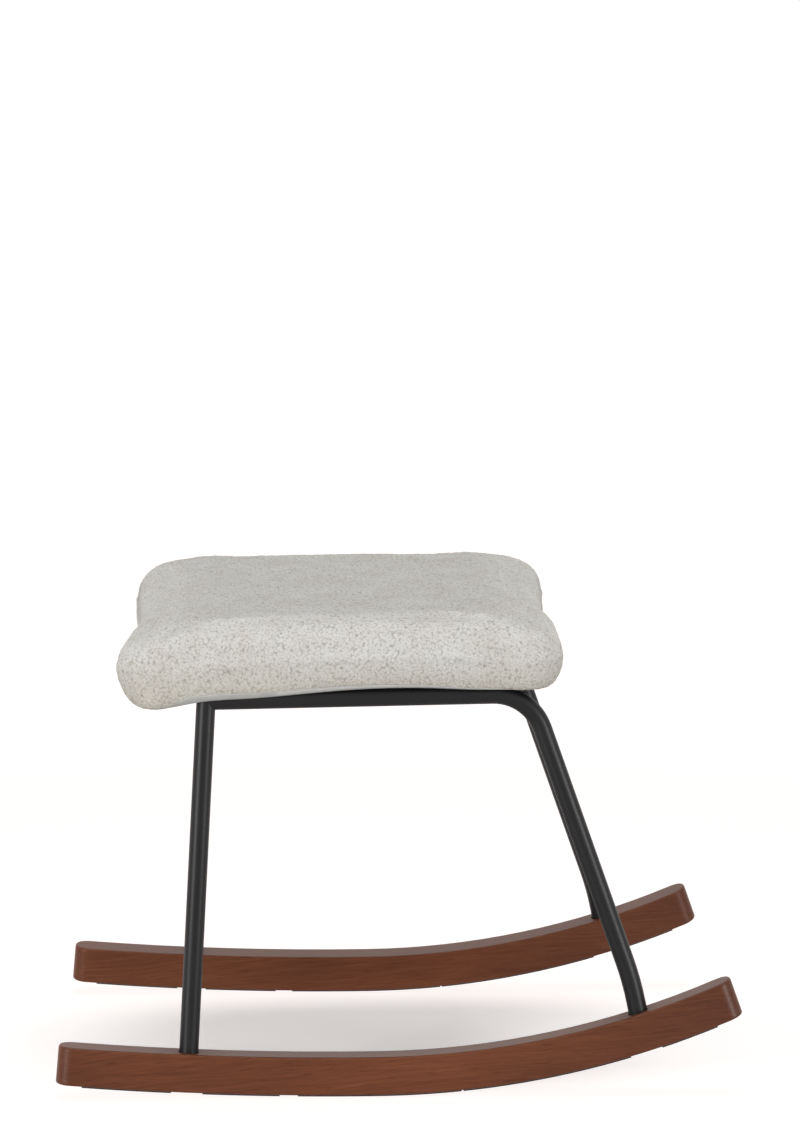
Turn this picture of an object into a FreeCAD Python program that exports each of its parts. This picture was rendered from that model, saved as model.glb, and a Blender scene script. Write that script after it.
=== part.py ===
import FreeCAD, Part
import math
import os

# Rocking footstool: two curved wooden rockers, a black tube frame and an upholstered seat pad.
# Millimetres, +Z up, +X towards the upturned toe ends, right is -Y and left is +Y.
# The origin lies on the floor under the middle of the whole stool.

# Rockers
rocker_length = 571.4
rocker_width = 29.0
rocker_height = 32.0
heel_radius = 2800.0
toe_radius = 764.0
lowest_x = -35.0
blend_x = -16.0
rocker_edge_round = 2.2
rocker_end_round = 12.0
toe_end_overcut = 2.4
track = 374.0
splay_angle = 3.0

# Glide strips under the rockers
strip_thickness = 1.0
strip_width = 24.0
strip_end_margin = 21.9
strip_bolt_gap = 13.0
heel_strip_length = 64.0
middle_strip_gap = 15.0
middle_strip_length = 136.0
strip_butt_gap = 1.6

# Frame tubes
tube_diameter = 16.0
tube_wall = 1.5
rail_height = 332.3
rail_rise_angle = 0.9
heel_foot_margin = 110.4
heel_leg_angle = 3.13
toe_foot_margin = 87.2
toe_leg_angle = 19.4
toe_bend_radius = 43.0
toe_kink_height = 93.0
toe_kink_radius = 250.0
toe_foot_angle = 11.5
heel_cross_offset = 34.0
toe_cross_margin = 11.0
cope_trim = 0.2
leg_cap_thickness = 2.5

# Leg sockets and the bolts that hold the legs
socket_clearance = 0.75
socket_depth = 16.0
socket_web = 8.5
bolt_diameter = 6.0
bolt_hole_clearance = 0.6
thread_clearance = 0.05
plug_clearance = 0.05
plug_length = 15.0
plug_engagement = 11.0
head_diameter = 11.5
head_height = 3.6
head_edge_round = 0.9
hex_key_size = 4.0
hex_key_depth = 2.0
washer_diameter = 13.0
washer_thickness = 1.2
recess_clearance = 1.2

# Seat tabs on the frame and what they hold
tab_length = 40.0
tab_thickness = 3.0
tab_corner_cut = 14.0
tab_hole_offset = 26.0
board_thickness = 12.0
seat_bolt_end_margin = 2.5
tee_nut_flange_diameter = 18.0
tee_nut_flange_thickness = 1.3
tee_nut_wall = 0.9
tee_nut_clearance = 0.15

# Upholstery
pad_side_overhang = 25.2
pad_heel_overhang = 66.7
pad_toe_overhang = 29.7
pad_height = 66.5
pad_bulge_height = 27.0
pad_under_round = 14.0
pad_shoulder_round = 58.0
pad_crown_rise = 1.5
pad_corner_radius = 46.0
pad_crown_corner_radius = 11.5
pad_crown_inset = 93.0
pad_shoulder_turns = (0, 35, 65)
pad_side_draw = 5.0
cover_thickness = 3.0
wadding_thickness = 4.0
foam_rim = 2.4
layer_clearance = 0.3
band_thickness = 2.0
band_height = 8.0
band_fold_width = 32.0
dust_cover_thickness = 0.8
dust_cover_margin = 10.0

# Staples that hold the band and the dust cover under the board
staple_crown = 10.0
staple_leg = 8.0
staple_wire = 0.7
staple_row_inset = 24.0
staple_pitch = 27.0
staple_tab_clearance = 3.0

V = FreeCAD.Vector
X_AXIS = V(1, 0, 0)
Y_AXIS = V(0, 1, 0)
Z_AXIS = V(0, 0, 1)
ORIGIN = V(0, 0, 0)
RIGHT = -1
LEFT = 1
SIDE_NAMES = {RIGHT: "right", LEFT: "left"}

tube_radius = tube_diameter / 2
bore_radius = tube_radius - tube_wall
bolt_radius = bolt_diameter / 2
rocker_top = strip_thickness + rocker_height
sole_lift = strip_width / 2 * math.sin(math.radians(splay_angle))


def write(name, shape):
    shape.exportStep(f"parts/{name}.step")


def rod(start, direction, length, radius):
    return Part.makeCylinder(radius, length, start, direction)


def compass(angle):
    """Unit vector in the side plane that points down, turned towards the toe by the angle in degrees."""
    turn = math.radians(angle)
    return V(math.sin(turn), 0, -math.cos(turn))


# The side of the stool is drawn upright in the XZ plane, then leant inwards and moved out to its place.


def lean(shape, side):
    placed = shape.copy()
    placed.rotate(ORIGIN, X_AXIS, side * splay_angle)
    placed.translate(V(0, side * track / 2, sole_lift))
    return placed


# The sole is the curve that the glide strips roll on: a long heel arc and a tighter toe arc, tangent at
# the blend. A place on it is an angle from straight down, and other curves lie at a height above it.

heel_centre = V(lowest_x, 0, heel_radius)
blend_angle = math.asin((blend_x - lowest_x) / heel_radius)
toe_centre = heel_centre + compass(math.degrees(blend_angle)) * (heel_radius - toe_radius)


def arc_at(angle):
    if angle < blend_angle:
        return heel_centre, heel_radius
    return toe_centre, toe_radius


def curve_point(angle, height):
    centre, radius = arc_at(angle)
    return centre + compass(math.degrees(angle)) * (radius - height)


def curve_angle(x, height):
    if x < curve_point(blend_angle, height).x:
        return math.asin((x - heel_centre.x) / (heel_radius - height))
    return math.asin((x - toe_centre.x) / (toe_radius - height))


def curve_edges(first, last, height):
    """Edges that follow the curve at this height from one angle to another, split at the blend."""
    stops = [first, last]
    if first < blend_angle < last:
        stops = [first, blend_angle, last]
    edges = []
    for start, end in zip(stops, stops[1:]):
        centre, radius = arc_at((start + end) / 2)
        reach = radius - height
        points = [centre + compass(math.degrees(a)) * reach for a in (start, (start + end) / 2, end)]
        edges.append(Part.Arc(*points).toShape())
    return edges


def curved_bar(first, last, bottom, top, width, overcut=0):
    """A bar along the sole between two angles, with square ends but for the overcut at the toe end's top."""
    last_at_top = last + overcut / arc_at(last)[1]
    lower = curve_edges(first, last, bottom)
    upper = curve_edges(first, last_at_top, top)
    heel_end = Part.makeLine(curve_point(first, bottom), curve_point(first, top))
    toe_end = Part.makeLine(curve_point(last, bottom), curve_point(last_at_top, top))
    outline = Part.Wire(Part.__sortEdges__(lower + [toe_end] + upper + [heel_end]))
    outline.translate(Y_AXIS * (-width / 2))
    return Part.Face(outline).extrude(Y_AXIS * width)


def drop_to_curve(start, direction, height):
    """Where a line that points down from above meets the curve at this height."""
    for centre, radius in ((heel_centre, heel_radius), (toe_centre, toe_radius)):
        offset = start - centre
        along = offset.dot(direction)
        reach = math.sqrt(along**2 - offset.dot(offset) + (radius - height) ** 2) - along
        point = start + direction * reach
        if arc_at(curve_angle(point.x, height))[1] == radius:
            return point
    return point


heel_end_angle = curve_angle(-rocker_length / 2, strip_thickness)
toe_end_angle = curve_angle(rocker_length / 2, strip_thickness)

# Frame lines in the side plane


rail_slope = math.tan(math.radians(rail_rise_angle))


def rail_point(x):
    return V(x, 0, rail_height + x * rail_slope)


def meet_rail(point, direction):
    """Where a line from the point meets the rail's axis."""
    rise = rail_point(point.x).z - point.z
    return point + direction * (rise / (direction.z - direction.x * rail_slope))


def foot_on_rocker(x):
    return curve_point(curve_angle(x, rocker_top), rocker_top)


# Each foot is the place where a leg's axis meets the rocker's top, and the way that the leg points there
feet = {
    "heel": (foot_on_rocker(heel_foot_margin - rocker_length / 2), compass(-heel_leg_angle)),
    "toe": (foot_on_rocker(rocker_length / 2 - toe_foot_margin), compass(toe_foot_angle)),
}
heel_foot, heel_down = feet["heel"]
toe_foot, toe_down = feet["toe"]
heel_leg_top = meet_rail(heel_foot, heel_down)
toe_kink = toe_foot - toe_down * ((toe_kink_height - toe_foot.z) / -toe_down.z)
toe_corner = meet_rail(toe_kink, compass(toe_leg_angle))


def bolt_exit_angle(end):
    """The sole angle at which the bolt of this leg leaves the rocker."""
    foot, down = feet[end]
    return curve_angle(drop_to_curve(foot, down, 0).x, 0)


# Wooden rockers


def is_upright_corner(edge):
    return isinstance(edge.Curve, Part.Line) and edge.BoundBox.YLength < rocker_width / 2


def rocker_blank():
    """The bar with its upright end corners rounded, then the long rims of its top and underside."""
    ends = heel_end_angle, toe_end_angle
    bar = curved_bar(*ends, strip_thickness, rocker_top, rocker_width, toe_end_overcut)
    bar = bar.makeFillet(rocker_end_round, [edge for edge in bar.Edges if is_upright_corner(edge)])
    rims = [edge for edge in bar.Edges if edge.Length > 2 * rocker_height]
    return bar.makeFillet(rocker_edge_round, rims)


def leg_bore(end):
    """All that is drilled for one leg: the socket from above, the bolt hole and the head's recess."""
    foot, down = feet[end]
    above = foot - down * rocker_height
    socket = rod(above, down, rocker_height + socket_depth, tube_radius + socket_clearance)
    hole = rod(above, down, 3 * rocker_height, bolt_radius + bolt_hole_clearance)
    recess_floor = foot + down * (socket_depth + socket_web)
    recess = rod(recess_floor, down, rocker_height, washer_diameter / 2 + recess_clearance)
    return socket.fuse([hole, recess])


def rocker():
    return rocker_blank().cut([leg_bore("heel"), leg_bore("toe")])


def glide_strips():
    """Strips glued under one rocker, clear of the bolt recesses, from the heel end to the toe end."""
    heel_end_x = curve_point(heel_end_angle, 0).x + strip_end_margin
    toe_end_x = curve_point(toe_end_angle, 0).x - strip_end_margin
    heel_bolt_x = curve_point(bolt_exit_angle("heel"), 0).x
    toe_bolt_x = curve_point(bolt_exit_angle("toe"), 0).x
    heel_start = heel_bolt_x + strip_bolt_gap
    middle_start = heel_start + heel_strip_length + middle_strip_gap
    toe_start = middle_start + middle_strip_length + strip_butt_gap
    spans = {
        "heel_end": (heel_end_x, heel_bolt_x - strip_bolt_gap),
        "heel": (heel_start, heel_start + heel_strip_length),
        "middle": (middle_start, middle_start + middle_strip_length),
        "toe": (toe_start, toe_bolt_x - strip_bolt_gap),
        "toe_end": (toe_bolt_x + strip_bolt_gap, toe_end_x),
    }
    return {
        name: curved_bar(curve_angle(start, 0), curve_angle(end, 0), 0, strip_thickness, strip_width)
        for name, (start, end) in spans.items()
    }


# Tube frame


def bent_path(corners, radii):
    """A wire of straight runs through the corners, each corner rounded by an arc of its radius."""
    edges = []
    at = corners[0]
    for before, corner, after, radius in zip(corners, corners[1:], corners[2:], radii):
        inward = (before - corner).normalize()
        outward = (after - corner).normalize()
        half_turn = (math.pi - inward.getAngle(outward)) / 2
        tangent = radius * math.tan(half_turn)
        start = corner + inward * tangent
        end = corner + outward * tangent
        bisector = (inward + outward).normalize()
        middle = corner + bisector * (radius / math.cos(half_turn) - radius)
        edges.append(Part.makeLine(at, start))
        edges.append(Part.Arc(start, middle, end).toShape())
        at = end
    edges.append(Part.makeLine(at, corners[-1]))
    return Part.Wire(edges)


def sweep_round(path, radius):
    first = path.Edges[0]
    start = first.valueAt(first.FirstParameter)
    direction = first.tangentAt(first.FirstParameter)
    disc = Part.Face(Part.Wire(Part.makeCircle(radius, start, direction)))
    return path.makePipe(disc)


def tube_along(path):
    return sweep_round(path, tube_radius).cut(sweep_round(path, bore_radius))


def foot_end(end):
    foot, down = feet[end]
    return foot + down * socket_depth


def heel_leg_axis():
    return Part.Wire(Part.makeLine(foot_end("heel"), heel_leg_top - heel_down * tube_diameter))


def side_tube():
    """The rail and the toe leg, one bent tube, its rail end shaped to fit round the heel leg."""
    path = bent_path(
        [heel_leg_top, toe_corner, toe_kink, foot_end("toe")], [toe_bend_radius, toe_kink_radius]
    )
    return tube_along(path).cut(sweep_round(heel_leg_axis(), tube_radius))


# The seat plane lies on top of the rails. What belongs to the seat is drawn flat on it, then tilted.

rail_turn = math.radians(rail_rise_angle)
toe_turn = math.radians(90 - toe_leg_angle + rail_rise_angle)
rail_y = track / 2 - rail_height * math.sin(math.radians(splay_angle))
seat_plane_height = (
    sole_lift + rail_height * math.cos(math.radians(splay_angle)) + tube_radius / math.cos(rail_turn)
)
heel_cross_x = heel_leg_top.x + heel_cross_offset
toe_cross_x = toe_corner.x - toe_bend_radius * math.tan(toe_turn / 2) - toe_cross_margin


def seat(shape):
    placed = shape.copy()
    placed.rotate(ORIGIN, Y_AXIS, -rail_rise_angle)
    placed.translate(Z_AXIS * seat_plane_height)
    return placed


def slab(bottom, top):
    size = 2 * rocker_length
    return seat(Part.makeBox(size, size, top - bottom, V(-size / 2, -size / 2, bottom)))


def heel_leg(side):
    tube = lean(tube_along(heel_leg_axis()), side)
    return tube.cut(slab(0, rocker_length))


def heel_leg_cap(side):
    plug = lean(sweep_round(heel_leg_axis(), bore_radius - plug_clearance), side)
    return plug.common(slab(-leg_cap_thickness, 0))


def cross_tube(x):
    start = lean(Part.Vertex(rail_point(x)), RIGHT).Point + Y_AXIS * cope_trim
    span = -2 * start.y
    tube = rod(start, Y_AXIS, span, tube_radius).cut(rod(start, Y_AXIS, span, bore_radius))
    rail = rod(heel_leg_top, (toe_corner - heel_leg_top).normalize(), rocker_length, tube_radius)
    return tube.cut([lean(rail, RIGHT), lean(rail, LEFT)])


# Fasteners


def hex_prism(start, direction, across_flats, length):
    circle = across_flats / math.sqrt(3)
    corners = [
        V(circle * math.cos(math.radians(60 * n)), circle * math.sin(math.radians(60 * n)), 0)
        for n in range(7)
    ]
    prism = Part.Face(Part.makePolygon(corners)).extrude(Z_AXIS * length)
    prism.Placement = FreeCAD.Placement(start, FreeCAD.Rotation(Z_AXIS, direction))
    return prism


def socket_bolt(under_head, direction, shank_length):
    """A bolt whose shank runs along the direction from under its head, with a hexagon key socket."""
    shank = rod(under_head, direction, shank_length, bolt_radius)
    head = rod(under_head, direction * -1, head_height, head_diameter / 2)
    rims = [edge for edge in head.Edges if edge.isClosed()]
    outer_rim = max(rims, key=lambda rim: rim.CenterOfMass.distanceToPoint(under_head))
    head = head.makeFillet(head_edge_round, [outer_rim])
    key = hex_prism(under_head - direction * head_height, direction, hex_key_size, hex_key_depth)
    return head.fuse(shank).cut(key)


def washer(start, direction):
    disc = rod(start, direction, washer_thickness, washer_diameter / 2)
    return disc.cut(rod(start, direction, washer_thickness, bolt_radius + bolt_hole_clearance / 2))


def foot_plug(end):
    """A threaded plug welded in the end of a leg."""
    down = feet[end][1]
    start = foot_end(end) - down * plug_length
    body = rod(start, down, plug_length, bore_radius - plug_clearance)
    return body.cut(rod(start, down, plug_length, bolt_radius + thread_clearance))


def rocker_bolt(end):
    foot, down = feet[end]
    under_head = foot + down * (socket_depth + socket_web + washer_thickness)
    return socket_bolt(under_head, down * -1, washer_thickness + socket_web + plug_engagement)


def rocker_washer(end):
    foot, down = feet[end]
    return washer(foot + down * (socket_depth + socket_web), down)


# Seat tabs: flat plates welded between a rail and a cross tube, one in each corner of the frame

board_bottom = dust_cover_thickness + band_thickness
board_top = board_bottom + board_thickness
tab_corners = {
    "right_heel": (heel_cross_x, 1, RIGHT),
    "left_heel": (heel_cross_x, 1, LEFT),
    "right_toe": (toe_cross_x, -1, RIGHT),
    "left_toe": (toe_cross_x, -1, LEFT),
}


def tab_hole(corner):
    cross_x, inward, side = tab_corners[corner]
    return V(cross_x + inward * tab_hole_offset, side * (rail_y - tab_hole_offset), 0)


def seat_tab(corner):
    cross_x, inward, side = tab_corners[corner]
    seam = math.sqrt(tube_radius**2 - (tube_radius - tab_thickness) ** 2)
    near_x = cross_x + inward * seam
    far_x = cross_x + inward * tab_length
    outer_y = side * (rail_y - seam)
    inner_y = side * (rail_y - tab_length)
    outline = Part.makePolygon(
        [
            V(near_x, outer_y, 0),
            V(far_x, outer_y, 0),
            V(far_x, inner_y + side * tab_corner_cut, 0),
            V(far_x - inward * tab_corner_cut, inner_y, 0),
            V(near_x, inner_y, 0),
            V(near_x, outer_y, 0),
        ]
    )
    plate = Part.Face(outline).extrude(Z_AXIS * -tab_thickness)
    hole = rod(tab_hole(corner), Z_AXIS * -1, tab_thickness, bolt_radius + bolt_hole_clearance)
    return seat(plate.cut(hole))


def at_tab_holes(make):
    return [seat(make(tab_hole(corner))) for corner in tab_corners]


def seat_washer(hole):
    return washer(hole - Z_AXIS * tab_thickness, Z_AXIS * -1)


def seat_bolt(hole):
    grip = tab_thickness + washer_thickness
    return socket_bolt(hole - Z_AXIS * grip, Z_AXIS, grip + board_top - seat_bolt_end_margin)


tee_nut_radius = bolt_radius + tee_nut_wall


def tee_nut_body(hole, clearance):
    """The nut's flange, let into the board's top, and its barrel through the board."""
    flange_bottom = hole + Z_AXIS * (board_top - tee_nut_flange_thickness)
    flange_radius = tee_nut_flange_diameter / 2 + clearance
    flange = rod(flange_bottom, Z_AXIS, tee_nut_flange_thickness, flange_radius)
    barrel = rod(hole + Z_AXIS * board_bottom, Z_AXIS, board_thickness, tee_nut_radius + clearance)
    return flange.fuse(barrel)


def tee_nut(hole):
    thread = rod(hole + Z_AXIS * board_bottom, Z_AXIS, board_thickness, bolt_radius + thread_clearance)
    return tee_nut_body(hole, 0).cut(thread)


def tee_nut_pocket(hole):
    return tee_nut_body(hole, tee_nut_clearance)


# Seat pad: crowned, fullest at about a third of its height, its sides drawn in between the corners

pad_heel_x = heel_leg_top.x - pad_heel_overhang
pad_toe_x = toe_corner.x + pad_toe_overhang
pad_centre_x = (pad_heel_x + pad_toe_x) / 2
pad_half_length = (pad_toe_x - pad_heel_x) / 2
pad_half_width = rail_y + pad_side_overhang


def pad_outline(inset, level, draw=pad_side_draw):
    """A plan outline of the pad at one level: four sides and four corners, each an arc."""
    a = pad_half_length - inset
    b = pad_half_width - inset
    r = max(pad_corner_radius - inset, pad_crown_corner_radius)
    diagonal = r * (1 - math.sqrt(0.5))
    edges = []
    for sx, sy, along_x in ((1, -1, True), (1, 1, False), (-1, 1, True), (-1, -1, False)):
        if along_x:
            start = V(-sx * (a - r), sy * b, level)
            middle = V(0, sy * (b - draw), level)
            end = V(sx * (a - r), sy * b, level)
            corner = V(sx * (a - diagonal), sy * (b - diagonal), level)
            after = V(sx * a, sy * (b - r), level)
        else:
            start = V(sx * a, -sy * (b - r), level)
            middle = V(sx * (a - draw), 0, level)
            end = V(sx * a, sy * (b - r), level)
            corner = V(sx * (a - diagonal), sy * (b - diagonal), level)
            after = V(sx * (a - r), sy * b, level)
        side_edge = Part.Arc(start, middle, end) if draw else Part.LineSegment(start, end)
        edges.append(side_edge.toShape())
        edges.append(Part.Arc(end, corner, after).toShape())
    outline = Part.Wire(edges)
    outline.translate(X_AXIS * pad_centre_x)
    return outline


def pad_form(skin, bottom):
    """The pad's form less a skin of this thickness, flat at the bottom level and crowned at the top."""
    top = pad_height - pad_crown_rise - skin
    bulge = pad_bulge_height
    under_turn = math.asin((bulge - bottom) / (bulge - pad_bottom))
    outlines = []
    for angle in (under_turn, under_turn / 2):
        inset = skin + pad_under_round * (1 - math.cos(angle))
        outlines.append(pad_outline(inset, bulge - (bulge - pad_bottom) * math.sin(angle)))
    for turn in pad_shoulder_turns:
        angle = math.radians(turn)
        inset = skin + pad_shoulder_round * (1 - math.cos(angle))
        outlines.append(pad_outline(inset, bulge + (top - bulge) * math.sin(angle)))
    outlines.append(pad_outline(skin + pad_crown_inset, top + pad_crown_rise))
    return Part.makeLoft(outlines, True, False, False, 3)


pad_bottom = dust_cover_thickness
wadding_skin = cover_thickness + layer_clearance
foam_skin = wadding_skin + wadding_thickness + layer_clearance
board_inset = pad_under_round + foam_skin + foam_rim


def flat_sheet(inset, bottom, thickness):
    return Part.Face(pad_outline(inset, bottom, 0)).extrude(Z_AXIS * thickness)


def below(level):
    size = 2 * rocker_length
    return Part.makeBox(size, size, size, V(-size / 2, -size / 2, level - size))


def cover_shell():
    opening = flat_sheet(pad_under_round + band_fold_width, 0, board_bottom)
    return pad_form(0, pad_bottom).cut(pad_form(cover_thickness, board_bottom)).cut(opening)


def board_block(clearance):
    return flat_sheet(board_inset - clearance, board_bottom, board_thickness)


def staple_places():
    """Middles and directions of the staples: a row along each side, missing out the frame's tabs."""
    a = pad_half_length - pad_under_round - staple_row_inset
    b = pad_half_width - pad_under_round - staple_row_inset
    places = []
    for half, across, along_x in ((a, b, True), (b, a, False)):
        count = int((half - pad_corner_radius / 2) / staple_pitch)
        for step in range(-count, count + 1):
            for sign in (-1, 1):
                if along_x:
                    places.append((V(pad_centre_x + step * staple_pitch, sign * across, 0), X_AXIS))
                else:
                    places.append((V(pad_centre_x + sign * across, step * staple_pitch, 0), Y_AXIS))
    return [place for place in places if clear_of_tabs(*place)]


def clear_of_tabs(middle, direction):
    margin = staple_tab_clearance + staple_crown / 2
    for cross_x, inward, side in tab_corners.values():
        tab_middle_x = cross_x + inward * tab_length / 2
        near_tab = abs(middle.x - tab_middle_x) < tab_length / 2 + tube_radius + margin
        if near_tab and abs(middle.y - side * rail_y) < tab_length + margin:
            return False
    near_leg = abs(middle.x - heel_leg_top.x) < tube_radius + margin
    return not (near_leg and abs(abs(middle.y) - rail_y) < tube_radius + margin)


def staple(middle, direction):
    across = Z_AXIS.cross(direction)
    half = direction * (staple_crown / 2)
    wire = staple_wire

    def bar(start, end_offset, height):
        corners = [ORIGIN, end_offset, end_offset + across * wire, across * wire, ORIGIN]
        face = Part.Face(Part.makePolygon([start - across * (wire / 2) + c for c in corners]))
        return face.extrude(Z_AXIS * height)

    crown = bar(middle - half - Z_AXIS * wire, direction * staple_crown, wire)
    legs = [
        bar(middle - half - Z_AXIS * wire, direction * wire, staple_leg + wire),
        bar(middle + half - direction * wire - Z_AXIS * wire, direction * wire, staple_leg + wire),
    ]
    return crown.fuse(legs).removeSplitter()


def build():
    os.makedirs("parts", exist_ok=True)
    one_rocker = rocker()
    strips = glide_strips()
    one_side_tube = side_tube()
    for side, name in SIDE_NAMES.items():
        write(f"{name}_rocker", lean(one_rocker, side))
        for place, strip in strips.items():
            write(f"{name}_{place}_glide_strip", lean(strip, side))
        write(f"{name}_side_tube", lean(one_side_tube, side))
        write(f"{name}_heel_leg", heel_leg(side))
        write(f"{name}_heel_leg_cap", heel_leg_cap(side))
        for end in feet:
            write(f"{name}_{end}_foot_plug", lean(foot_plug(end), side))
    write("heel_cross_tube", cross_tube(heel_cross_x))
    write("toe_cross_tube", cross_tube(toe_cross_x))
    for corner in tab_corners:
        write(f"{corner}_seat_tab", seat_tab(corner))

    pairs = [(side, end) for side in SIDE_NAMES for end in feet]
    write("rocker_bolts", Part.makeCompound([lean(rocker_bolt(end), side) for side, end in pairs]))
    write("rocker_washers", Part.makeCompound([lean(rocker_washer(end), side) for side, end in pairs]))
    write("seat_bolts", Part.makeCompound(at_tab_holes(seat_bolt)))
    write("seat_washers", Part.makeCompound(at_tab_holes(seat_washer)))
    write("seat_tee_nuts", Part.makeCompound(at_tab_holes(tee_nut)))

    staples = [staple(*place) for place in staple_places()]
    pockets = [tee_nut_pocket(tab_hole(corner)) for corner in tab_corners]
    board = board_block(0).cut(pockets + staples)
    write("seat_board", seat(board))
    shell = cover_shell()
    write("cushion_cover", seat(shell.cut(below(board_bottom + band_height))))
    write("under_band", seat(shell.common(below(board_bottom + band_height)).cut(staples)))
    wadding_inside = pad_form(wadding_skin + wadding_thickness, board_bottom)
    write("wadding_wrap", seat(pad_form(wadding_skin, board_bottom).cut(wadding_inside)))
    foam = pad_form(foam_skin, board_bottom).cut(board_block(layer_clearance))
    write("seat_foam", seat(foam))
    bolt_holes = [
        rod(tab_hole(corner), Z_AXIS, dust_cover_thickness, bolt_radius + bolt_hole_clearance)
        for corner in tab_corners
    ]
    dust_cover = flat_sheet(pad_under_round + dust_cover_margin, 0, dust_cover_thickness)
    write("dust_cover", seat(dust_cover.cut(bolt_holes + staples)))
    write("cover_staples", seat(Part.makeCompound(staples)))


build()
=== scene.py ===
import math

import bmesh
import bpy
from mathutils import Matrix, Vector


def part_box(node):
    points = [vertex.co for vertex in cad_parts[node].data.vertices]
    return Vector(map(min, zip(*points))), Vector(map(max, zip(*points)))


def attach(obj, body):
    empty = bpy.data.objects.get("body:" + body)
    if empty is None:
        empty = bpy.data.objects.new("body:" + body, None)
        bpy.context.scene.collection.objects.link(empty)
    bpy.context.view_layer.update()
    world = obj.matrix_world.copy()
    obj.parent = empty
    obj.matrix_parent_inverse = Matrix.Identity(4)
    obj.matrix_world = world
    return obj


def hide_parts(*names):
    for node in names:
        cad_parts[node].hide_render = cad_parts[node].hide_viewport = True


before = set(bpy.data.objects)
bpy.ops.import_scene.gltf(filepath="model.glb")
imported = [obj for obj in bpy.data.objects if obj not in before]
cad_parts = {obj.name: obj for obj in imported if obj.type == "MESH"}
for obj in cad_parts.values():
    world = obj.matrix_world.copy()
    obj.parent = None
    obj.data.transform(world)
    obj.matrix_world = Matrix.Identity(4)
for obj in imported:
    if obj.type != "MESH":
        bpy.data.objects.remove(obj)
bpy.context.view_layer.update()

mm = 0.001
scene = bpy.context.scene
scene.view_settings.view_transform = "Standard"


# Camera
# It looks at the stool's right side from a little above the cushion, from well back, as the photograph
# does, so that both rockers show one behind the other.

camera_place = Vector((-130.8, -3600.0, 913.6)) * mm
camera_pitch_down = math.radians(7.852)
camera_turn_to_toe = math.radians(2.196)
camera_lens = 133.8
camera_sensor = 36.0

camera_data = bpy.data.cameras.new("camera")
camera_data.lens = camera_lens
camera_data.sensor_width = camera_sensor
camera = bpy.data.objects.new("camera", camera_data)
camera.location = camera_place
camera.rotation_euler = (math.pi / 2 - camera_pitch_down, 0, -camera_turn_to_toe)
scene.collection.objects.link(camera)
scene.camera = camera


# Studio
# A white sweep of paper on the floor, a pale room, two low soft lamps in front on the heel and toe
# sides and a soft one overhead. The paper fades into the white distance.

world_strength = 0.14
floor_half_side = 30.0
paper_colour_seen = (0.97, 0.93, 0.92, 1)
paper_colour_bounced = (0.32, 0.31, 0.305, 1)
glow_colour = (1.0, 0.945, 0.925, 1)
paper_light = 0.80
full_white = 1.14
shadow_middle = (0.02, 0.0, 0.0)
shadow_reach = (0.31, 0.14, 1.0)
shadow_start, shadow_end = 0.7, 1.4
share_in_shadow_place, share_round_it = 0.14, 0.78
fade_start, fade_end = 0.5, 1.6
lamp_aim = Vector((0, 0, 0.3))
side_lamp_out, side_lamp_front, side_lamp_height = 1.62, -1.46, 0.44
side_lamp_size = (0.36, 0.8)
heel_lamp_power, toe_lamp_power = 25, 23
top_lamp_place = Vector((0.0, 0.1, 2.5))
top_lamp_size = (1.2, 1.2)
top_lamp_power = 26


def new_material(name):
    material = bpy.data.materials.new(name)
    material.use_nodes = True
    tree = material.node_tree
    tree.nodes.clear()
    return material, tree.nodes, tree.links


def put(nodes, kind, **settings):
    """A node of this kind; a setting names one of its sockets or properties."""
    node = nodes.new(kind)
    for key, value in settings.items():
        if key in node.inputs:
            node.inputs[key].default_value = value
        else:
            setattr(node, key, value)
    return node


def seen_or_mirrored(nodes, links):
    """1 for camera, glossy and transmission rays, else 0."""
    path = put(nodes, "ShaderNodeLightPath")
    first = put(nodes, "ShaderNodeMath", operation="MAXIMUM")
    links.new(path.outputs["Is Camera Ray"], first.inputs[0])
    links.new(path.outputs["Is Glossy Ray"], first.inputs[1])
    both = put(nodes, "ShaderNodeMath", operation="MAXIMUM")
    links.new(first.outputs[0], both.inputs[0])
    links.new(path.outputs["Is Transmission Ray"], both.inputs[1])
    return both.outputs[0]


def build_world():
    world = bpy.data.worlds.new("pale room")
    scene.world = world
    world.use_nodes = True
    nodes, links = world.node_tree.nodes, world.node_tree.links
    nodes.clear()
    room = put(nodes, "ShaderNodeBackground", Color=(1, 1, 1, 1), Strength=world_strength)
    white = put(nodes, "ShaderNodeBackground", Color=(1, 1, 1, 1), Strength=1.0)
    mix = put(nodes, "ShaderNodeMixShader")
    out = put(nodes, "ShaderNodeOutputWorld")
    links.new(seen_or_mirrored(nodes, links), mix.inputs[0])
    links.new(room.outputs[0], mix.inputs[1])
    links.new(white.outputs[0], mix.inputs[2])
    links.new(mix.outputs[0], out.inputs["Surface"])


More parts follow.
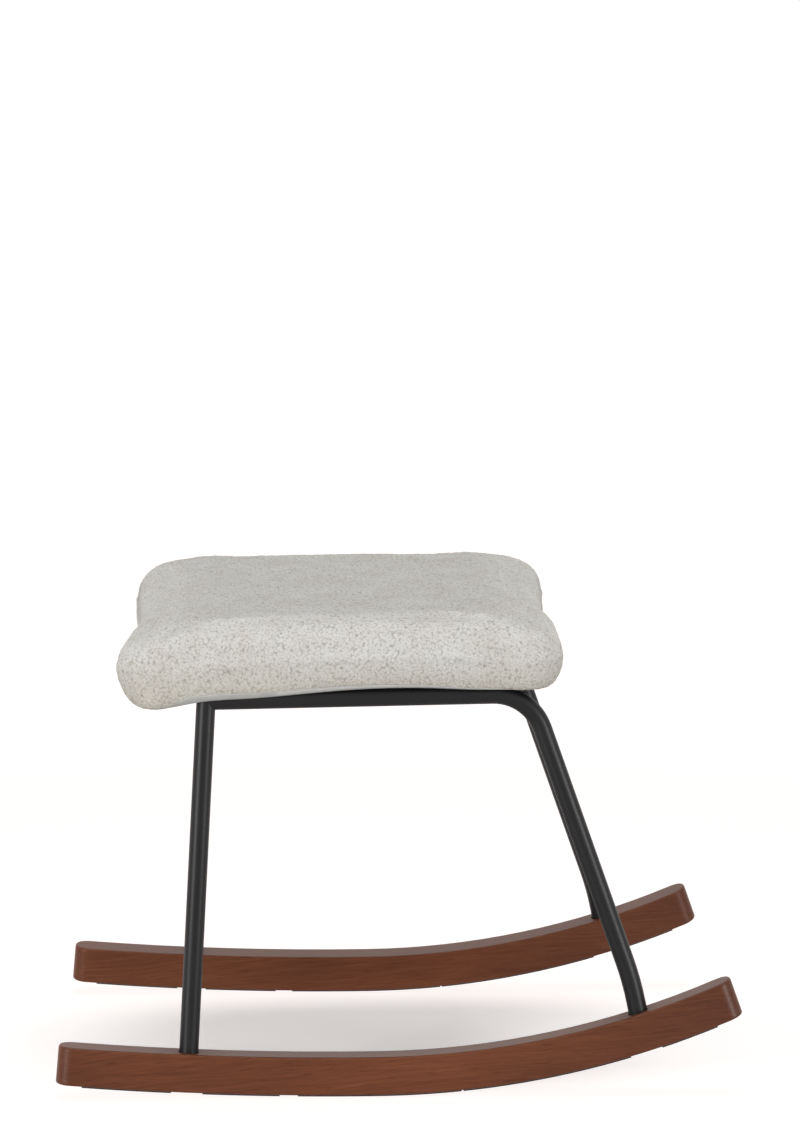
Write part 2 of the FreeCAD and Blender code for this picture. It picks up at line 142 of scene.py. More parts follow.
def build_floor():
    """White paper that keeps the stool's shadow best right under it and is plain white further out."""
    material, nodes, links = new_material("floor_paper")
    place = put(nodes, "ShaderNodeTexCoord")
    under = put(
        nodes, "ShaderNodeMapping", vector_type="TEXTURE", Location=shadow_middle, Scale=shadow_reach
    )
    links.new(place.outputs["Object"], under.inputs["Vector"])

    def fade(vector, start, end, low, high):
        """From low to high as the vector's length goes from start to end."""
        away = put(nodes, "ShaderNodeVectorMath", operation="LENGTH")
        links.new(vector, away.inputs[0])
        ends = {"From Min": start, "From Max": end, "To Min": low, "To Max": high}
        ramp = put(nodes, "ShaderNodeMapRange", interpolation_type="SMOOTHSTEP", **ends)
        links.new(away.outputs["Value"], ramp.inputs["Value"])
        return ramp.outputs["Result"]

    near = fade(under.outputs["Vector"], shadow_start, shadow_end, share_in_shadow_place, share_round_it)
    far = fade(place.outputs["Object"], fade_start, fade_end, 0.0, 1.0)
    plain = put(nodes, "ShaderNodeMath", operation="MAXIMUM")
    links.new(near, plain.inputs[0])
    links.new(far, plain.inputs[1])
    seen = seen_or_mirrored(nodes, links)
    share = put(nodes, "ShaderNodeMath", operation="MULTIPLY")
    links.new(plain.outputs[0], share.inputs[0])
    links.new(seen, share.inputs[1])
    lift = put(nodes, "ShaderNodeMath", operation="MULTIPLY_ADD")
    links.new(plain.outputs[0], lift.inputs[0])
    lift.inputs[1].default_value = paper_light
    lift.inputs[2].default_value = full_white - paper_light
    seen_lift = put(nodes, "ShaderNodeMath", operation="MULTIPLY")
    links.new(lift.outputs[0], seen_lift.inputs[0])
    links.new(seen, seen_lift.inputs[1])

    paper_colour = put(nodes, "ShaderNodeMix", data_type="RGBA")
    paper_colour.inputs["A"].default_value = paper_colour_bounced
    paper_colour.inputs["B"].default_value = paper_colour_seen
    links.new(seen, paper_colour.inputs["Factor"])
    paper = put(nodes, "ShaderNodeBsdfDiffuse")
    links.new(paper_colour.outputs["Result"], paper.inputs["Color"])
    dark = put(nodes, "ShaderNodeEmission", Strength=0.0)
    kept = put(nodes, "ShaderNodeMixShader")
    links.new(share.outputs[0], kept.inputs[0])
    links.new(paper.outputs[0], kept.inputs[1])
    links.new(dark.outputs[0], kept.inputs[2])
    glow = put(nodes, "ShaderNodeEmission", Color=glow_colour)
    links.new(seen_lift.outputs[0], glow.inputs["Strength"])
    both = put(nodes, "ShaderNodeAddShader")
    links.new(kept.outputs[0], both.inputs[0])
    links.new(glow.outputs[0], both.inputs[1])
    out = put(nodes, "ShaderNodeOutputMaterial")
    links.new(both.outputs[0], out.inputs["Surface"])

    bm = bmesh.new()
    bmesh.ops.create_grid(bm, x_segments=1, y_segments=1, size=floor_half_side)
    mesh = bpy.data.meshes.new("floor")
    bm.to_mesh(mesh)
    bm.free()
    floor = bpy.data.objects.new("floor", mesh)
    scene.collection.objects.link(floor)
    mesh.materials.append(material)


def soft_lamp(name, place, size, power):
    lamp = bpy.data.lights.new(name, "AREA")
    lamp.shape = "RECTANGLE"
    lamp.size, lamp.size_y = size
    lamp.energy = power
    holder = bpy.data.objects.new(name, lamp)
    holder.location = place
    holder.rotation_euler = (lamp_aim - place).to_track_quat("-Z", "Y").to_euler()
    scene.collection.objects.link(holder)


build_world()
build_floor()
for lamp_name, way, lamp_power in (
    ("heel_side_lamp", -1, heel_lamp_power),
    ("toe_side_lamp", 1, toe_lamp_power),
):
    lamp_place = Vector((way * side_lamp_out, side_lamp_front, side_lamp_height))
    soft_lamp(lamp_name, lamp_place, side_lamp_size, lamp_power)
soft_lamp("top_lamp", top_lamp_place, top_lamp_size, top_lamp_power)


# Rockers
# Each is a curved bar of solid hardwood, sawn and rounded over, with sockets drilled for the two legs.
# It is stained reddish brown and sealed with a satin lacquer, so the fine grain still shows.

wood_dark = (0.088, 0.025, 0.0100, 1)
wood_mid = (0.150, 0.045, 0.0185, 1)
wood_light = (0.215, 0.072, 0.0310, 1)
wood_pore_shade = (0.62, 0.55, 0.52, 1)
# Painted shade: this colour darkens the wood towards the toe end over the X range below, standing in for
# less light there.
painted_toe_shade = (0.72, 0.74, 0.80, 1)
painted_shade_start, painted_shade_end, painted_shade_most = 0.05, 0.285, 0.9
grain_slant = math.radians(5)
grain_stretch = 26.0
grain_size = 520.0
pore_size = 1100.0
pore_stretch = 22.0


def group_socket(tree, name, kind, way, default=None):
    """A socket on the outside of a node group."""
    socket = tree.interface.new_socket(name=name, in_out=way, socket_type=kind)
    if default is not None:
        socket.default_value = default
    return socket


def wood_grain_group():
    """Grain along X: broad stain clouds, growth lines and short pores."""
    tree = bpy.data.node_groups.new("wood grain", "ShaderNodeTree")
    group_socket(tree, "Vector", "NodeSocketVector", "INPUT")
    group_socket(tree, "Line Size", "NodeSocketFloat", "INPUT", grain_size)
    group_socket(tree, "Pore Size", "NodeSocketFloat", "INPUT", pore_size)
    group_socket(tree, "Tone", "NodeSocketFloat", "OUTPUT")
    group_socket(tree, "Pores", "NodeSocketFloat", "OUTPUT")
    nodes, links = tree.nodes, tree.links
    inside = put(nodes, "NodeGroupInput")
    outside = put(nodes, "NodeGroupOutput")

    turn = put(nodes, "ShaderNodeMapping", Rotation=(0, grain_slant, 0))
    links.new(inside.outputs["Vector"], turn.inputs["Vector"])
    drift = put(nodes, "ShaderNodeTexNoise", Scale=9.0, Detail=3.0)
    links.new(turn.outputs["Vector"], drift.inputs["Vector"])
    bend = put(nodes, "ShaderNodeVectorMath", operation="MULTIPLY_ADD")
    bend.inputs[1].default_value = (0.004, 0.004, 0.009)
    links.new(drift.outputs["Color"], bend.inputs[0])
    links.new(turn.outputs["Vector"], bend.inputs[2])

    def along_grain(stretch):
        squeeze = put(nodes, "ShaderNodeVectorMath", operation="MULTIPLY")
        squeeze.inputs[1].default_value = (1 / stretch, 1, 1)
        links.new(bend.outputs[0], squeeze.inputs[0])
        return squeeze.outputs[0]

    lines = put(nodes, "ShaderNodeTexNoise", Detail=6.0, Roughness=0.7)
    links.new(along_grain(grain_stretch), lines.inputs["Vector"])
    links.new(inside.outputs["Line Size"], lines.inputs["Scale"])
    pores = put(nodes, "ShaderNodeTexNoise", Detail=2.0, Roughness=0.5)
    links.new(along_grain(pore_stretch), pores.inputs["Vector"])
    links.new(inside.outputs["Pore Size"], pores.inputs["Scale"])
    pore_mask = put(nodes, "ShaderNodeMapRange", **{"From Min": 0.60, "From Max": 0.72})
    links.new(pores.outputs["Fac"], pore_mask.inputs["Value"])

    clouds = put(nodes, "ShaderNodeTexNoise", Scale=16.0, Detail=2.0)
    links.new(along_grain(3.0), clouds.inputs["Vector"])
    tone = put(nodes, "ShaderNodeMix", data_type="FLOAT", Factor=0.4)
    links.new(lines.outputs["Fac"], tone.inputs["A"])
    links.new(clouds.outputs["Fac"], tone.inputs["B"])
    links.new(tone.outputs["Result"], outside.inputs["Tone"])
    links.new(pore_mask.outputs["Result"], outside.inputs["Pores"])
    return tree


wood_grain = wood_grain_group()


def use_group(nodes, tree, **values):
    node = nodes.new("ShaderNodeGroup")
    node.node_tree = tree
    for key, value in values.items():
        node.inputs[key.replace("_", " ")].default_value = value
    return node


def colour_ramp(nodes, stops):
    ramp = nodes.new("ShaderNodeValToRGB")
    elements = ramp.color_ramp.elements
    while len(elements) < len(stops):
        elements.new(0.5)
    for element, (place, colour) in zip(elements, stops):
        element.position = place
        element.color = colour
    return ramp


def finish_surface(nodes, links, shader):
    out = put(nodes, "ShaderNodeOutputMaterial")
    links.new(shader.outputs[0], out.inputs["Surface"])


def bump(nodes, links, height, distance, strength=1.0, normal=None):
    node = put(nodes, "ShaderNodeBump", Strength=strength, Distance=distance)
    links.new(height, node.inputs["Height"])
    if normal is not None:
        links.new(normal, node.inputs["Normal"])
    return node.outputs["Normal"]


def rocker_wood():
    """Stained and lacquered hardwood, with painted shade making it a little darker towards the toe end.
    """
    material, nodes, links = new_material("rocker_wood")
    place = put(nodes, "ShaderNodeTexCoord")
    grain = use_group(nodes, wood_grain)
    links.new(place.outputs["Object"], grain.inputs["Vector"])
    ramp = colour_ramp(nodes, [(0.30, wood_dark), (0.50, wood_mid), (0.72, wood_light)])
    links.new(grain.outputs["Tone"], ramp.inputs["Fac"])
    darken = put(nodes, "ShaderNodeMix", data_type="RGBA", blend_type="MULTIPLY")
    darken.inputs["B"].default_value = wood_pore_shade
    links.new(grain.outputs["Pores"], darken.inputs["Factor"])
    links.new(ramp.outputs["Color"], darken.inputs["A"])
    # Painted shade: the colour is darkened along X towards the toe end.
    length_place = put(nodes, "ShaderNodeSeparateXYZ")
    links.new(place.outputs["Object"], length_place.inputs[0])
    painted_shade_range = {"From Min": painted_shade_start, "From Max": painted_shade_end, "To Max": painted_shade_most}
    painted_shade_share = put(nodes, "ShaderNodeMapRange", **painted_shade_range)
    links.new(length_place.outputs["X"], painted_shade_share.inputs["Value"])
    painted_toe_darkening = put(nodes, "ShaderNodeMix", data_type="RGBA", blend_type="MULTIPLY")
    painted_toe_darkening.inputs["B"].default_value = painted_toe_shade
    links.new(painted_shade_share.outputs["Result"], painted_toe_darkening.inputs["Factor"])
    links.new(darken.outputs["Result"], painted_toe_darkening.inputs["A"])
    shader = put(nodes, "ShaderNodeBsdfPrincipled", Roughness=0.42)
    shader.inputs["Specular IOR Level"].default_value = 0.22
    shader.inputs["Coat Weight"].default_value = 0.03
    shader.inputs["Coat Roughness"].default_value = 0.3
    links.new(painted_toe_darkening.outputs["Result"], shader.inputs["Base Color"])
    links.new(bump(nodes, links, grain.outputs["Tone"], 0.00025, 0.35), shader.inputs["Normal"])
    finish_surface(nodes, links, shader)
    return material


def dress(node_name, material):
    """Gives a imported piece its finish."""
    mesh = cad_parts[node_name].data
    mesh.materials.clear()
    mesh.materials.append(material)


sides = ("right", "left")
wood = rocker_wood()
for side in sides:
    dress(f"{side}_rocker", wood)


# Glide strips
# Thin felt-faced rubber strips glued under each rocker, in five lengths that leave the leg bolts clear.
# They keep the wood off the floor and quieten the rocking.

strip_names = ("heel_end", "heel", "middle", "toe", "toe_end")


def strip_felt():
    material, nodes, links = new_material("strip_felt")
    place = put(nodes, "ShaderNodeTexCoord")
    fuzz = put(nodes, "ShaderNodeTexNoise", Scale=1600.0, Detail=4.0, Roughness=0.7)
    links.new(place.outputs["Object"], fuzz.inputs["Vector"])
    ramp = colour_ramp(nodes, [(0.3, (0.012, 0.011, 0.010, 1)), (0.7, (0.045, 0.042, 0.040, 1))])
    links.new(fuzz.outputs["Fac"], ramp.inputs["Fac"])
    shader = put(nodes, "ShaderNodeBsdfPrincipled", Roughness=0.92)
    shader.inputs["Sheen Weight"].default_value = 0.2
    links.new(ramp.outputs["Color"], shader.inputs["Base Color"])
    links.new(bump(nodes, links, fuzz.outputs["Fac"], 0.0003, 0.8), shader.inputs["Normal"])
    finish_surface(nodes, links, shader)
    return material


felt = strip_felt()
for side in sides:
    for strip in strip_names:
        dress(f"{side}_{strip}_glide_strip", felt)


# Frame
# Two bent side tubes, two straight heel legs, two cross tubes and four seat tabs of welded steel,
# powder-coated satin black as one frame.


def black_powder_coat():
    material, nodes, links = new_material("black_powder_coat")
    place = put(nodes, "ShaderNodeTexCoord")
    peel = put(nodes, "ShaderNodeTexNoise", Scale=900.0, Detail=2.0)
    links.new(place.outputs["Object"], peel.inputs["Vector"])
    patches = put(nodes, "ShaderNodeTexNoise", Scale=22.0, Detail=3.0)
    links.new(place.outputs["Object"], patches.inputs["Vector"])
    ramp = colour_ramp(nodes, [(0.3, (0.0022, 0.0022, 0.0028, 1)), (0.7, (0.0040, 0.0040, 0.0048, 1))])
    links.new(patches.outputs["Fac"], ramp.inputs["Fac"])
    rough = put(nodes, "ShaderNodeMapRange", **{"To Min": 0.38, "To Max": 0.46})
    links.new(patches.outputs["Fac"], rough.inputs["Value"])
    shader = put(nodes, "ShaderNodeBsdfPrincipled")
    shader.inputs["Specular IOR Level"].default_value = 0.27
    links.new(ramp.outputs["Color"], shader.inputs["Base Color"])
    links.new(rough.outputs["Result"], shader.inputs["Roughness"])
    links.new(bump(nodes, links, peel.outputs["Fac"], 0.0001, 0.25), shader.inputs["Normal"])
    finish_surface(nodes, links, shader)
    return material


coat = black_powder_coat()
for side in sides:
    for piece in ("side_tube", "heel_leg", "heel_seat_tab", "toe_seat_tab"):
        dress(f"{side}_{piece}", coat)
for piece in ("heel_cross_tube", "toe_cross_tube"):
    dress(piece, coat)


# Leg caps
# Small black plastic discs pressed into the open tops of the heel legs, under the seat.


def black_plastic():
    material, nodes, links = new_material("black_plastic")
    place = put(nodes, "ShaderNodeTexCoord")
    grain = put(nodes, "ShaderNodeTexNoise", Scale=1400.0, Detail=2.0)
    links.new(place.outputs["Object"], grain.inputs["Vector"])
    ramp = colour_ramp(nodes, [(0.3, (0.010, 0.010, 0.010, 1)), (0.7, (0.018, 0.018, 0.018, 1))])
    links.new(grain.outputs["Fac"], ramp.inputs["Fac"])
    shader = put(nodes, "ShaderNodeBsdfPrincipled", Roughness=0.55)
    links.new(ramp.outputs["Color"], shader.inputs["Base Color"])
    links.new(bump(nodes, links, grain.outputs["Fac"], 0.0001, 0.4), shader.inputs["Normal"])
    finish_surface(nodes, links, shader)
    return material


plastic = black_plastic()
for side in sides:
    dress(f"{side}_heel_leg_cap", plastic)


# Fasteners
# Zinc-plated socket screws with washers hold the legs in the rockers and the seat on its tabs. The
# threaded plugs in the legs, the tee nuts in the board and the staples are plated steel too.

plating_roughness_spread = 0.14


def cloudy_plating_group():
    """Plating's faint clouds: a mask for their tone, and a roughness that varies with them."""
    tree = bpy.data.node_groups.new("cloudy plating", "ShaderNodeTree")
    group_socket(tree, "Vector", "NodeSocketVector", "INPUT")
    group_socket(tree, "Least Roughness", "NodeSocketFloat", "INPUT", 0.3)
    group_socket(tree, "Cloud", "NodeSocketFloat", "OUTPUT")
    group_socket(tree, "Roughness", "NodeSocketFloat", "OUTPUT")
    nodes, links = tree.nodes, tree.links
    inside = put(nodes, "NodeGroupInput")
    outside = put(nodes, "NodeGroupOutput")
    cloud = put(nodes, "ShaderNodeTexNoise", Scale=240.0, Detail=4.0, Roughness=0.6)
    links.new(inside.outputs["Vector"], cloud.inputs["Vector"])
    rough = put(nodes, "ShaderNodeMath", operation="MULTIPLY_ADD")
    rough.inputs[1].default_value = plating_roughness_spread
    links.new(cloud.outputs["Fac"], rough.inputs[0])
    links.new(inside.outputs["Least Roughness"], rough.inputs[2])
    links.new(cloud.outputs["Fac"], outside.inputs["Cloud"])
    links.new(rough.outputs[0], outside.inputs["Roughness"])
    return tree


cloudy_plating = cloudy_plating_group()


def plated_steel(name, shade, least_roughness):
    material, nodes, links = new_material(name)
    place = put(nodes, "ShaderNodeTexCoord")
    plating = use_group(nodes, cloudy_plating, Least_Roughness=least_roughness)
    links.new(place.outputs["Object"], plating.inputs["Vector"])
    darker = tuple(0.8 * value for value in shade) + (1,)
    ramp = colour_ramp(nodes, [(0.3, darker), (0.7, shade + (1,))])
    links.new(plating.outputs["Cloud"], ramp.inputs["Fac"])
    shader = put(nodes, "ShaderNodeBsdfPrincipled", Metallic=1.0)
    links.new(ramp.outputs["Color"], shader.inputs["Base Color"])
    links.new(plating.outputs["Roughness"], shader.inputs["Roughness"])
    links.new(bump(nodes, links, plating.outputs["Cloud"], 0.00005, 0.3), shader.inputs["Normal"])
    finish_surface(nodes, links, shader)
    return material


zinc = plated_steel("zinc_plate", (0.62, 0.63, 0.65), 0.28)
bare_steel = plated_steel("bare_steel", (0.42, 0.41, 0.40), 0.39)
staple_wire = plated_steel("staple_wire", (0.66, 0.66, 0.66), 0.24)
for piece in ("rocker_bolts", "rocker_washers", "seat_bolts", "seat_washers", "seat_tee_nuts"):
    dress(piece, zinc)
for side in sides:
    for end in ("heel", "toe"):
        dress(f"{side}_{end}_foot_plug", bare_steel)
dress("cover_staples", staple_wire)


# Seat board
# A birch plywood board with its tee nuts let in from above. It hides inside the pad.


def birch_plywood():
    material, nodes, links = new_material("birch_plywood")
    place = put(nodes, "ShaderNodeTexCoord")
    grain = use_group(nodes, wood_grain, Line_Size=150.0, Pore_Size=600.0)
    links.new(place.outputs["Object"], grain.inputs["Vector"])
    ramp = colour_ramp(nodes, [(0.3, (0.50, 0.34, 0.19, 1)), (0.7, (0.66, 0.49, 0.31, 1))])
    links.new(grain.outputs["Tone"], ramp.inputs["Fac"])
    shader = put(nodes, "ShaderNodeBsdfPrincipled", Roughness=0.7)
    links.new(ramp.outputs["Color"], shader.inputs["Base Color"])
    links.new(bump(nodes, links, grain.outputs["Tone"], 0.0002, 0.4), shader.inputs["Normal"])
    finish_surface(nodes, links, shader)
    return material


dress("seat_board", birch_plywood())


# Cushion
# Foam on the seat board, wrapped in wadding and covered in cream boucle that is pulled down over the
# sides. Its sides draw in between full, soft corners, and it hangs over the frame all round.

seat_rise = math.radians(0.9)
cover_low, cover_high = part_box("cushion_cover")
dust_low, dust_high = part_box("dust_cover")
seat_height = dust_low.z - dust_low.x * math.tan(seat_rise)
pad_middle_x = (cover_low.x + cover_high.x) / 2
swell_room_x, swell_room_y = 3.0 * mm, 2.5 * mm
pad_half_length = (cover_high.x - cover_low.x) / 2 - swell_room_x
pad_half_width = (cover_high.y - cover_low.y) / 2 - swell_room_y
pad_bottom = 2.7 * mm
pad_top = 55.0 * mm
corner_round = 42.0 * mm
shoulder_round = 18.0 * mm
under_round = 15.0 * mm
under_height = 25.0 * mm
side_draw = 7.0 * mm
crown_rise = 13.0 * mm
crown_reach_heel, crown_reach_toe, crown_reach_side = 84.0 * mm, 62.0 * mm, 25.0 * mm
near_side_slope = 0.034
board_low, board_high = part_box("seat_board")
board_half_length = (board_high.x - board_low.x) / 2
board_half_width = board_high.y
board_corner = 36.0 * mm
hang_start = 10.0 * mm
askew = 0.020
voxel = 5.0 * mm
cloth_pressure = 4.0
cloth_frames = 20
swell_cap = 3.0 * mm
held_below = 13.0 * mm
held_fade = 12.0 * mm
band_top_middle = 6.0 * mm
band_slope = Vector((0.014, 0, 1)).normalized()
tuck_depth = 1.4 * mm
tuck_fade = 3.0 * mm
corner_inset, corner_fade = 16.0 * mm, 34.0 * mm
pad_heart_height = 30.0 * mm
lay_on_seat = Matrix.Translation((0, 0, seat_height)) @ Matrix.Rotation(-seat_rise, 4, "Y")
yarn_warm = (0.758, 0.733, 0.695, 1)
yarn_pale = (0.812, 0.805, 0.782, 1)
# Painted shade: the colour is darkened in the gaps between the knots, by an amount that varies in clumps.
knot_gap_shade_stops = [(0.25, (1, 1, 1, 1)), (0.62, (0.85, 0.84, 0.82, 1)), (0.85, (0.62, 0.60, 0.57, 1))]
gap_shade_range = {"From Min": 0.38, "From Max": 0.60, "To Min": 0.8, "To Max": 1.1}
# The boucle is tinted more beige towards its bottom, in patches.
beige = (0.88, 0.82, 0.68, 1)
beige_from, beige_down_to, beige_most = 0.366, 0.338, 0.85

# Soft places of this cushion, in millimetres: where each is on the seat, its reach, and how it moves.
# They make the low, full corner at the near heel end, the sagging lower edge and the worn-in shoulders.
soft_places = (
    ((-212, -172, 27), (40, 50, 30), (-10, -2, 0)),
    ((-202, -178, 6), (34, 42, 22), (-4, -2, -15)),
    ((-150, -188, 5), (60, 24, 26), (0, -1, -8)),
    ((-85, -184, 4), (75, 20, 24), (0, 0, -7)),
    ((30, -186, 4), (60, 18, 24), (0, 0, -4)),
    ((78, -184, 4), (40, 20, 24), (0, 0, -5)),
    ((-204, -176, 50), (44, 40, 24), (0, 0, -4)),
    ((118, -176, 52), (34, 40, 24), (0, 0, -3)),
    ((122, -178, 8), (28, 36, 20), (5, -1, -8)),
    ((124, -178, 28), (34, 60, 34), (8, -1, 0)),
    ((130, -98, 50), (34, 58, 28), (11, 0, 0)),
    ((-222, -105, 50), (34, 50, 28), (-6, 0, 0)),
    ((80, 185, 54), (70, 60, 24), (0, 0, -2.5)),
    ((-222, 70, 48), (30, 70, 26), (-3, 0, 0)),
    ((128, 165, 40), (40, 80, 40), (8, 3, 1)),
    ((130, 40, 44), (34, 70, 28), (8, 0, 0)),
    ((-222, 60, 26), (30, 80, 26), (-3, 0, 0)),
    ((-170, 185, 54), (50, 60, 24), (0, 0, -1)),
    ((-205, 165, 42), (40, 90, 40), (-6, 3, 2)),
)


def link_mesh(name, bm):
    mesh = bpy.data.meshes.new(name)
    bm.to_mesh(mesh)
    bm.free()
    piece = bpy.data.objects.new(name, mesh)
    scene.collection.objects.link(piece)
    return piece


def round_edges(bm, chosen, radius, segments):
    bmesh.ops.bevel(
        bm, geom=chosen, offset=radius, segments=segments, profile=0.5, affect="EDGES", material=-1
    )


def pad_blank():
    """A box with rounded corners, shoulders and underside, flat on the seat plane."""
    bm = bmesh.new()
    bmesh.ops.create_cube(bm, size=1.0)
    size = (2 * pad_half_length, 2 * pad_half_width, pad_top - pad_bottom)
    bmesh.ops.scale(bm, vec=size, verts=bm.verts)
    bmesh.ops.translate(bm, vec=(pad_middle_x, 0, (pad_top + pad_bottom) / 2), verts=bm.verts)
    upright = [edge for edge in bm.edges if abs(edge.verts[0].co.z - edge.verts[1].co.z) > voxel]
    round_edges(bm, upright, corner_round, 10)
    top_rim = [e for e in bm.edges if all(v.co.z > pad_top - mm for v in e.verts)]
    round_edges(bm, top_rim, shoulder_round, 8)
    low_rim = [e for e in bm.edges if all(v.co.z < pad_bottom + mm for v in e.verts)]
    round_edges(bm, low_rim, under_round, 5)
    return bm


def apply_modifiers(piece):
    """The piece's mesh becomes what its modifiers make of it."""
    graph = bpy.context.evaluated_depsgraph_get()
    graph.update()
    result = bpy.data.meshes.new_from_object(piece.evaluated_get(graph), depsgraph=graph)
    piece.modifiers.clear()
    old = piece.data
    piece.data = result
    bpy.data.meshes.remove(old)


def fuller_below(z):
    """Stretches the lower edge's rounding upwards, which puts the sides' fullest part at mid height."""
    shoulder_start = pad_top - shoulder_round
    places = (pad_bottom, pad_bottom + under_round, shoulder_start, 2 * pad_top)
    moved = (pad_bottom, pad_bottom + under_height, shoulder_start, 2 * pad_top)
    for low, high, new_low, new_high in zip(places, places[1:], moved, moved[1:]):
        if z < high:
            return new_low + (z - low) * (new_high - new_low) / (high - low)
    return z


def past_board(point):
    """0 under the seat board, 1 from a little outside it, where the filling can hang."""
    past_x = max(abs(point.x - pad_middle_x) - board_half_length + board_corner, 0)
    past_y = max(abs(point.y) - board_half_width + board_corner, 0)
    outside = math.hypot(past_x, past_y) - board_corner
    share = min(max(outside / hang_start, 0), 1)
    return share * share * (3 - 2 * share)


def shape_pad(point):
    """Where a point of the blank goes: sides drawn in, top crowned, soft places moved, a little askew."""
    across = (point.x - pad_middle_x) / pad_half_length
    along = point.y / pad_half_width
    height = max((point.z - pad_bottom) / (pad_top - pad_bottom), 0)
    draw_x = side_draw * (1 - along * along) * across * abs(across)
    draw_y = side_draw * (1 - across * across) * along * abs(along)
    reach_x = crown_reach_heel if across < 0 else crown_reach_toe
    over_x = 1 - min(pad_half_length * (1 - abs(across)) / reach_x, 1)
    over_y = 1 - min(pad_half_width * (1 - abs(along)) / crown_reach_side, 1)
    crown = crown_rise * (1 - over_x**2) * (1 - over_y**2) * height**2
    sink = near_side_slope * (pad_half_width - point.y) * height**2
    moved = Vector((point.x - draw_x, point.y - draw_y, fuller_below(point.z) + crown - sink))
    for place, reach, move in soft_places:
        away = sum(((moved[i] - place[i] * mm) / (reach[i] * mm)) ** 2 for i in range(3))
        moved += Vector(move) * mm * math.exp(-away)
    if moved.z < pad_bottom:
        moved.z += (pad_bottom - moved.z) * (1 - past_board(point))
    moved.x += askew * point.y
    return moved


def swell(piece, flat_places):
    """Blows the cover up as cloth over its filling; its underside stays put."""
    held = piece.vertex_groups.new(name="held")
    starts = [vertex.co.copy() for vertex in piece.data.vertices]
    for vertex, flat_place in zip(piece.data.vertices, flat_places):
        firm = 1 - min(max((flat_place.z - held_below) / held_fade, 0), 1)
        held.add([vertex.index], firm, "REPLACE")
    cloth = piece.modifiers.new("swell", "CLOTH")
    cloth.settings.use_pressure = True
    cloth.settings.uniform_pressure_force = cloth_pressure
    cloth.settings.vertex_group_mass = held.name
    cloth.settings.effector_weights.gravity = 0
    cloth.settings.quality = 5
    for frame_number in range(1, cloth_frames + 1):
        scene.frame_set(frame_number)
    apply_modifiers(piece)
    scene.frame_set(1)
    for vertex, start in zip(piece.data.vertices, starts):
        shift = vertex.co - start
        if shift.length > swell_cap:
            vertex.co = start + shift * (swell_cap / shift.length)
    piece.vertex_groups.clear()


def even_out(piece):
    """Remeshes the blank into even squares that bend well."""
    remesh = piece.modifiers.new("even mesh", "REMESH")
    remesh.mode = "VOXEL"
    remesh.voxel_size = voxel
    apply_modifiers(piece)


def band_top(x):
    """Height of the grey band's upper edge, under the boucle's."""
    return band_top_middle - (band_slope.x / band_slope.z) * x


def near_corner(point):
    """1 at the pad's corners, where the boucle hangs over the band, falling to 0 along its sides."""
    from_x = (pad_half_length - corner_inset - abs(point.x - pad_middle_x)) / corner_fade
    from_y = (pad_half_width - corner_inset - abs(point.y)) / corner_fade
    return math.exp(-(max(from_x, 0) ** 2) - max(from_y, 0) ** 2)


def press_in(point, depth):
    """The point moved inwards and a little up, by this depth."""
    return point + Vector((pad_middle_x - point.x, -point.y, pad_heart_height)).normalized() * depth


def tuck_under(piece, starts):
    """The boucle's lower edge sits under the band, so it is pressed in there, but for the corners."""
    for vertex, start in zip(piece.data.vertices, starts):
        below = min(max((band_top(start.x) - start.z) / tuck_fade, 0), 1)
        vertex.co = press_in(vertex.co, tuck_depth * below * (1 - near_corner(start)))


def make_cushion():
    cushion = link_mesh("cushion", pad_blank())
    even_out(cushion)
    starts = [vertex.co.copy() for vertex in cushion.data.vertices]
    for vertex in cushion.data.vertices:
        vertex.co = shape_pad(vertex.co)
    swell(cushion, starts)
    tuck_under(cushion, starts)
    return cushion


def add_knots(piece):
    """Divides the mesh and raises the boucle's knots and hollows."""
    divide = piece.modifiers.new("divide", "SUBSURF")
    divide.levels = divide.render_levels = 2
    for name, size, strength in (("tufts", 0.012, 0.5), ("knots", 0.0028, 1.1)):
        pattern = bpy.data.textures.new(name, "CLOUDS")
        pattern.noise_scale = size
        pattern.noise_depth = 1
        raise_knots = piece.modifiers.new(name, "DISPLACE")
        raise_knots.texture = pattern
        raise_knots.texture_coords = "LOCAL"
        raise_knots.strength = strength * mm
        raise_knots.mid_level = 0.5
    apply_modifiers(piece)


def smooth(piece):
    for polygon in piece.data.polygons:
        polygon.use_smooth = True


cushion = make_cushion()
add_knots(cushion)
cushion.data.transform(lay_on_seat)
smooth(cushion)


